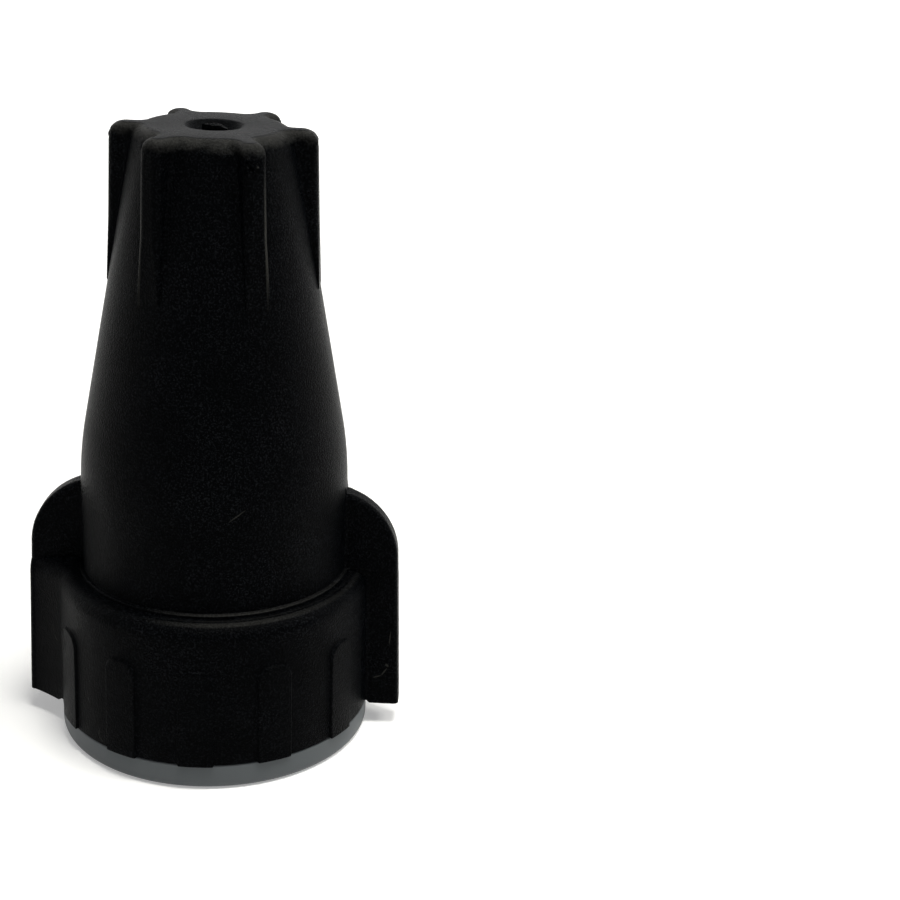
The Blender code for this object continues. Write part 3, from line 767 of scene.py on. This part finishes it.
def make_cap():
    """Turned cap with twelve soft fingers between its slits."""
    outer, inner = (0.0, 0.0, RECESS_DEPTH), (0.0, 0.0, RECESS_DEPTH + DISC_THICKNESS)
    bm = skin(turned(cap_profile(), FINE_STEPS), outer, inner)
    cap = finish_piece(bm, "cap_moulding")
    low, high = RECESS_DEPTH - DISC_THICKNESS, RECESS_DEPTH + 2 * DISC_THICKNESS
    cut = bmesh.new()
    face = cut.faces.new([cut.verts.new(point) for point in at_height(spider_outline(), low)])
    face.normal_update()
    if face.normal.z > 0:
        face.normal_flip()
    risen = bmesh.ops.extrude_face_region(cut, geom=[face], use_keep_orig=True)
    moved = [item for item in risen["geom"] if isinstance(item, bmesh.types.BMVert)]
    bmesh.ops.translate(cut, verts=moved, vec=(0.0, 0.0, high - low))
    bmesh.ops.recalc_face_normals(cut, faces=cut.faces)
    mesh = bpy.data.meshes.new("slit_cutter")
    cut.to_mesh(mesh)
    cut.free()
    cutter = bpy.data.objects.new("slit_cutter", mesh)
    bpy.context.scene.collection.objects.link(cutter)
    modifier = cap.modifiers.new("slits", "BOOLEAN")
    modifier.operation = "DIFFERENCE"
    modifier.solver = "EXACT"
    modifier.object = cutter
    graph = bpy.context.evaluated_depsgraph_get()
    done = bpy.data.meshes.new_from_object(cap.evaluated_get(graph))
    cap.modifiers.clear()
    cap.data = done
    bpy.data.objects.remove(cutter)
    cap.data.set_sharp_from_angle(angle=math.radians(SHARP_ANGLE))
    return cap


def new_material(name):
    """A new material and the tree of its nodes."""
    material = bpy.data.materials.new(name)
    material.use_nodes = True
    return material, material.node_tree


def object_place(tree):
    """Places on the object, in metres from its origin."""
    return tree.nodes.new("ShaderNodeTexCoord").outputs["Object"]


def noise_value(tree, place, scale, detail):
    """Noise over the object, with features about 1/scale metres wide."""
    texture = tree.nodes.new("ShaderNodeTexNoise")
    texture.inputs["Scale"].default_value = scale
    texture.inputs["Detail"].default_value = detail
    tree.links.new(place, texture.inputs["Vector"])
    return texture.outputs["Fac"]


def mapped(tree, value, low, high, from_low=0.3, from_high=0.7):
    """A value moved into the range low to high."""
    ranger = tree.nodes.new("ShaderNodeMapRange")
    ranger.inputs["From Min"].default_value = from_low
    ranger.inputs["From Max"].default_value = from_high
    ranger.inputs["To Min"].default_value = low
    ranger.inputs["To Max"].default_value = high
    tree.links.new(value, ranger.inputs["Value"])
    return ranger.outputs["Result"]


def combined(tree, operation, values):
    """Some values joined one after another by the same operation."""
    result = values[0]
    for value in values[1:]:
        node = tree.nodes.new("ShaderNodeMath")
        node.operation = operation
        tree.links.new(result, node.inputs[0])
        tree.links.new(value, node.inputs[1])
        result = node.outputs[0]
    return result


def product(tree, *values):
    """Some values multiplied."""
    return combined(tree, "MULTIPLY", values)


def greatest(tree, *values):
    """The greatest of some values."""
    return combined(tree, "MAXIMUM", values)


def length(tree, vector):
    """How long a vector is."""
    node = tree.nodes.new("ShaderNodeVectorMath")
    node.operation = "LENGTH"
    tree.links.new(vector, node.inputs[0])
    return node.outputs["Value"]


def blended(tree, share, first, second):
    """A colour that goes from the first to the second as the share rises."""
    node = tree.nodes.new("ShaderNodeMix")
    node.data_type = "RGBA"
    tree.links.new(share, node.inputs["Factor"])
    tree.links.new(first, node.inputs["A"])
    node.inputs["B"].default_value = second
    return node.outputs["Result"]


def toned(tree, value, tones):
    """A colour from a ramp through some tones, each a position and a colour."""
    ramp = tree.nodes.new("ShaderNodeValToRGB")
    elements = ramp.color_ramp.elements
    elements[0].position, elements[0].color = tones[0]
    elements[1].position, elements[1].color = tones[-1]
    for position, colour in tones[1:-1]:
        elements.new(position).color = colour
    tree.links.new(value, ramp.inputs["Fac"])
    return ramp.outputs["Color"]


def banded(tree, value, low, middle, high):
    """1 where a value is at the middle, falling to 0 at low and high."""
    rising = mapped(tree, value, 0.0, 1.0, low, middle)
    return product(tree, rising, mapped(tree, value, 1.0, 0.0, middle, high))


def mark(tree, place, start, end, width):
    """1 on a thin mark between two places in millimetres, and 0 away from it."""
    first, last = Vector(start) * MM, Vector(end) * MM
    run = last - first
    local = tree.nodes.new("ShaderNodeMapping")
    local.vector_type = "TEXTURE"
    local.inputs["Location"].default_value = (first + last) / 2
    local.inputs["Rotation"].default_value = run.to_track_quat("X", "Z").to_euler()
    local.inputs["Scale"].default_value = (run.length / 2 + width * MM, width * MM, width * MM)
    tree.links.new(place, local.inputs["Vector"])
    return mapped(tree, length(tree, local.outputs["Vector"]), 1.0, 0.0, 0.5, 1.0)


def wear_and_highlight_share(tree, place):
    """How pale the plastic is made: worn and with a painted highlight along the nose's rim, and a
    painted highlight on the front and right of the ledge.
    """
    apart = tree.nodes.new("ShaderNodeSeparateXYZ")
    tree.links.new(place, apart.inputs["Vector"])
    x, y, z = (apart.outputs[axis] for axis in "XYZ")
    flat = tree.nodes.new("ShaderNodeVectorMath")
    flat.operation = "MULTIPLY"
    flat.inputs[1].default_value = (1.0, 1.0, 0.0)
    tree.links.new(place, flat.inputs[0])
    radius = length(tree, flat.outputs["Vector"])
    ragged = tree.nodes.new("ShaderNodeMath")
    ragged.operation = "MULTIPLY_ADD"
    tree.links.new(noise_value(tree, place, *RIM_RAGGED_NOISE), ragged.inputs[0])
    ragged.inputs[1].default_value = RIM_RAGGED
    tree.links.new(z, ragged.inputs[2])
    # The rim's pale band: partly real scuffing, partly a painted highlight on the rounded top edge
    low = RIM_WEAR_AND_HIGHLIGHT_LOW + RIM_RAGGED / 2
    rising = mapped(tree, ragged.outputs[0], 0.0, 1.0, low, low + RIM_WEAR_AND_HIGHLIGHT_SPAN)
    below = mapped(tree, z, 1.0, 0.0, *RIM_WEAR_AND_HIGHLIGHT_TOP)
    outer = mapped(tree, radius, 0.0, 1.0, *RIM_WEAR_AND_HIGHLIGHT_RADII)
    rim = product(tree, rising, below, outer)
    # Painted highlight on the ledge and the step, only on the front and right where the light falls
    ledge_highlight = mapped(tree, banded(tree, z, *LEDGE_HIGHLIGHT), 0.0, LEDGE_HIGHLIGHT_SHARE)
    ledge_and_step_highlight = greatest(tree, ledge_highlight, banded(tree, z, *STEP_HIGHLIGHT))
    right = mapped(tree, x, 0.0, HIGHLIGHT_RIGHT_SHARE, *HIGHLIGHT_RIGHT)
    front = mapped(tree, y, 1.0, 0.0, *HIGHLIGHT_FRONT)
    inner = mapped(tree, radius, 1.0, 0.0, *HIGHLIGHT_RADII)
    fading = mapped(tree, x, 1.0, HIGHLIGHT_FAR_SHARE, *HIGHLIGHT_FADING)
    near = product(tree, right, front, inner, fading)
    return greatest(tree, rim, product(tree, ledge_and_step_highlight, near))


def finish_surface(tree, colour, rough, grain, strength, distance):
    """Give a shader its colour, its roughness and a fine relief."""
    shader = tree.nodes["Principled BSDF"]
    tree.links.new(colour, shader.inputs["Base Color"])
    tree.links.new(rough, shader.inputs["Roughness"])
    bump = tree.nodes.new("ShaderNodeBump")
    bump.inputs["Strength"].default_value = strength
    bump.inputs["Distance"].default_value = distance
    tree.links.new(grain, bump.inputs["Height"])
    tree.links.new(bump.outputs["Normal"], shader.inputs["Normal"])


def black_plastic():
    """Black moulded plastic: spark-eroded grain, faint flow marks, handling wear and painted
    highlights.
    """
    material, tree = new_material("black_plastic")
    shader = tree.nodes["Principled BSDF"]
    shader.inputs["Specular IOR Level"].default_value = BLACK_GLOSS
    place = object_place(tree)
    grain = noise_value(tree, place, *BLACK_GRAIN)
    clouds = noise_value(tree, place, *BLACK_CLOUDS)
    fresh = toned(tree, grain, BLACK_TONES)
    shaded = blended(tree, mapped(tree, clouds, 0.0, FLOW_SHARE), fresh, FLOW_COLOUR)
    # Wear, and painted highlights on the nose's rim and the ledge
    worn_and_highlit = product(tree, wear_and_highlight_share(tree, place), mapped(tree, grain, WORN_AND_HIGHLIGHT_LEAST, 1.0))
    rubbed_and_highlit = blended(tree, worn_and_highlit, shaded, WORN_AND_HIGHLIGHT_COLOUR)
    # Scratches, and painted highlights down the two front fins' outer edges
    marks_and_highlights = greatest(tree, *[mark(tree, place, *ends) for ends in MARKS_AND_EDGE_HIGHLIGHTS])
    scratched_and_highlit = blended(tree, marks_and_highlights, rubbed_and_highlit, MARK_AND_EDGE_HIGHLIGHT_COLOUR)
    rough = mapped(tree, clouds, *BLACK_ROUGHNESS)
    finish_surface(tree, scratched_and_highlit, rough, grain, *BLACK_RELIEF)
    return material


def grey_plastic():
    """Grey soft plastic: smooth, with a fine grain and slight clouding."""
    material, tree = new_material("grey_plastic")
    shader = tree.nodes["Principled BSDF"]
    shader.inputs["Specular IOR Level"].default_value = GREY_GLOSS
    place = object_place(tree)
    grain = noise_value(tree, place, *GREY_GRAIN)
    clouds = noise_value(tree, place, *GREY_CLOUDS)
    rough = mapped(tree, clouds, *GREY_ROUGHNESS)
    finish_surface(tree, toned(tree, clouds, GREY_TONES), rough, grain, *GREY_RELIEF)
    return material


def drawn_steel():
    """Bright spring wire with a fine uneven grain."""
    material, tree = new_material("drawn_steel")
    shader = tree.nodes["Principled BSDF"]
    shader.inputs["Metallic"].default_value = 1.0
    lines = noise_value(tree, object_place(tree), *STEEL_LINES)
    rough = mapped(tree, lines, *STEEL_ROUGHNESS)
    finish_surface(tree, toned(tree, lines, STEEL_TONES), rough, lines, *STEEL_RELIEF)
    return material


def shown_white(tree):
    """1 for the rays of the camera, of gloss and of glass, and 0 for the rest."""
    path = tree.nodes.new("ShaderNodeLightPath")
    rays = ("Is Camera Ray", "Is Glossy Ray", "Is Transmission Ray")
    return greatest(tree, *[path.outputs[ray] for ray in rays])


def make_floor():
    """White floor that keeps the soft shadow near the connector and glows away from it."""
    bm = bmesh.new()
    bmesh.ops.create_grid(bm, x_segments=8, y_segments=8, size=FLOOR_HALF_WIDTH)
    mesh = bpy.data.meshes.new("floor")
    bm.to_mesh(mesh)
    bm.free()
    floor = bpy.data.objects.new("floor", mesh)
    floor.location.z = -FLOOR_DROP
    bpy.context.scene.collection.objects.link(floor)
    material, tree = new_material("floor_white")
    output = tree.nodes["Material Output"]
    tree.nodes.remove(tree.nodes["Principled BSDF"])
    diffuse = tree.nodes.new("ShaderNodeBsdfDiffuse")
    diffuse.inputs["Color"].default_value = FLOOR_COLOUR
    glow = tree.nodes.new("ShaderNodeEmission")
    away = length(tree, object_place(tree))
    strength = mapped(tree, away, *FLOOR_GLOW, *FLOOR_GLOW_RANGE)
    tree.links.new(product(tree, shown_white(tree), strength), glow.inputs["Strength"])
    add = tree.nodes.new("ShaderNodeAddShader")
    tree.links.new(diffuse.outputs[0], add.inputs[0])
    tree.links.new(glow.outputs[0], add.inputs[1])
    tree.links.new(add.outputs[0], output.inputs["Surface"])
    mesh.materials.append(material)


def make_world():
    """Plain surround: dim as a light, white where it is seen."""
    world = bpy.data.worlds.new("surround")
    bpy.context.scene.world = world
    world.use_nodes = True
    tree = world.node_tree
    background = tree.nodes["Background"]
    background.inputs["Color"].default_value = SURROUND_COLOUR
    strength = mapped(tree, shown_white(tree), *SURROUND_STRENGTH, 0.0, 1.0)
    tree.links.new(strength, background.inputs["Strength"])


def add_light(name, place, size, power):
    """A soft rectangular lamp that looks at the middle of the connector."""
    data = bpy.data.lights.new(name, "AREA")
    data.shape = "RECTANGLE"
    data.size, data.size_y = size
    data.energy = power
    data.color = LAMP_COLOUR
    lamp = bpy.data.objects.new(name, data)
    lamp.location = place
    aim = Vector(LAMP_AIM) - Vector(place)
    lamp.rotation_euler = aim.to_track_quat("-Z", "Y").to_euler()
    bpy.context.scene.collection.objects.link(lamp)


def make_camera():
    """Camera at the photograph's place, turn, roll and lens."""
    ca, sa = math.cos(CAMERA_AZIMUTH), math.sin(CAMERA_AZIMUTH)
    ce, se = math.cos(CAMERA_ELEVATION), math.sin(CAMERA_ELEVATION)
    back = Vector((sa * ce, -ca * ce, se))
    right = Vector((ca, sa, 0.0))
    up = back.cross(right)
    cr, sr = math.cos(CAMERA_ROLL), math.sin(CAMERA_ROLL)
    across = right * cr + up * sr
    above = up * cr - right * sr
    aim = Vector((0.0, 0.0, CAMERA_AIM)) + across * CAMERA_ASIDE - above * CAMERA_DROP
    place = aim + back * CAMERA_DISTANCE
    data = bpy.data.cameras.new("camera")
    data.sensor_width = CAMERA_SENSOR
    data.lens = CAMERA_LENS
    data.shift_x = CAMERA_SHIFT
    data.clip_start, data.clip_end = CAMERA_CLIP
    camera = bpy.data.objects.new("camera", data)
    camera.matrix_world = Matrix((
        (across.x, above.x, back.x, place.x),
        (across.y, above.y, back.y, place.y),
        (across.z, above.z, back.z, place.z),
        (0.0, 0.0, 0.0, 1.0),
    ))
    bpy.context.scene.collection.objects.link(camera)
    bpy.context.scene.camera = camera


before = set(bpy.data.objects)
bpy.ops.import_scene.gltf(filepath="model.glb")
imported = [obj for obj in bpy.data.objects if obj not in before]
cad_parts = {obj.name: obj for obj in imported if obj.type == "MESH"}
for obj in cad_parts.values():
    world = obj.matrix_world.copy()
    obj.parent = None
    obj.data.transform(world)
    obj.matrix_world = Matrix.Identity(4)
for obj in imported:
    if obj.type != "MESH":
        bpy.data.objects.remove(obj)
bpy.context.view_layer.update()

bpy.context.scene.view_settings.view_transform = "Standard"
make_camera()
make_world()
make_floor()
for lamp in LAMPS:
    add_light(*lamp)

shell = make_shell()
shell.data.materials.append(black_plastic())
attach(shell, "root")
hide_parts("shell")

cap = make_cap()
cap.data.materials.clear()
cap.data.materials.append(grey_plastic())
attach(cap, "root")
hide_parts("end_cap")

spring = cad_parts["spring"]
spring.data.materials.clear()
spring.data.materials.append(drawn_steel())
